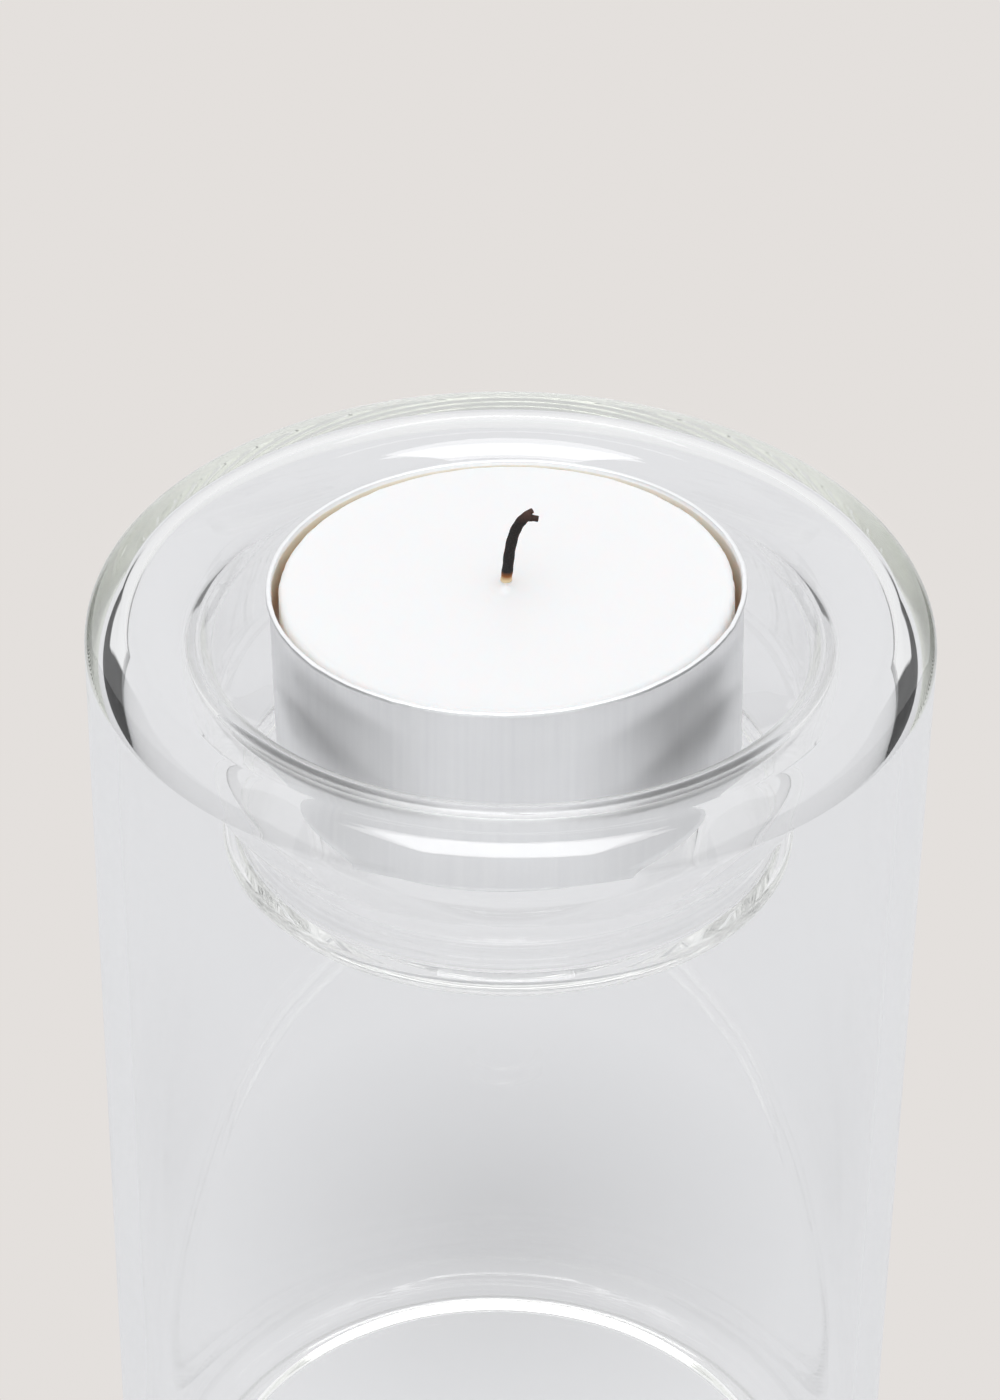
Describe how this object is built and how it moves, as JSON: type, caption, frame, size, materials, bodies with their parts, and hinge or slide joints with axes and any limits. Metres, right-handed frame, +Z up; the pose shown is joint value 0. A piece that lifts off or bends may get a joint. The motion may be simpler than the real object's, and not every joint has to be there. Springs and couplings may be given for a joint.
{
  "type": "tealight holder",
  "caption": "Hollow clear glass cylinder with a rounded lip folded inwards into a waisted well, with a lift-out tealight in an aluminium cup standing on the well's pushed-up floor.",
  "frame": {"origin": "middle of the base, on the surface that the glass stands on", "axes": "+Z up along the axis of the glass, -Y towards the side the object is seen from"},
  "size_m": [0.068, 0.068, 0.1101],
  "materials": {
    "clear_glass": "clear, fire-polished",
    "cup_aluminium": "drawn, faint upright streaks",
    "white_wax": "white paraffin wax, satin",
    "charred_cotton": "charred braid",
    "tinplate": "bright tinplate"
  },
  "bodies": {
    "holder": {"glass_holder": "clear_glass"},
    "tealight": {"tealight_cup": "cup_aluminium"},
    "candle": {"wax": "white_wax", "wick": "charred_cotton", "wick_sustainer": "tinplate"}
  },
  "joints": [
    {"name": "tealight_lift", "type": "slide", "parent": "holder", "child": "tealight", "axis": [-0.0262, 0.0244, 0.9994], "range_m": [0, 0.03]},
    {"name": "candle_lift", "type": "slide", "parent": "tealight", "child": "candle", "axis": [-0.0262, 0.0244, 0.9994], "range_m": [0, 0.02]}
  ]
}
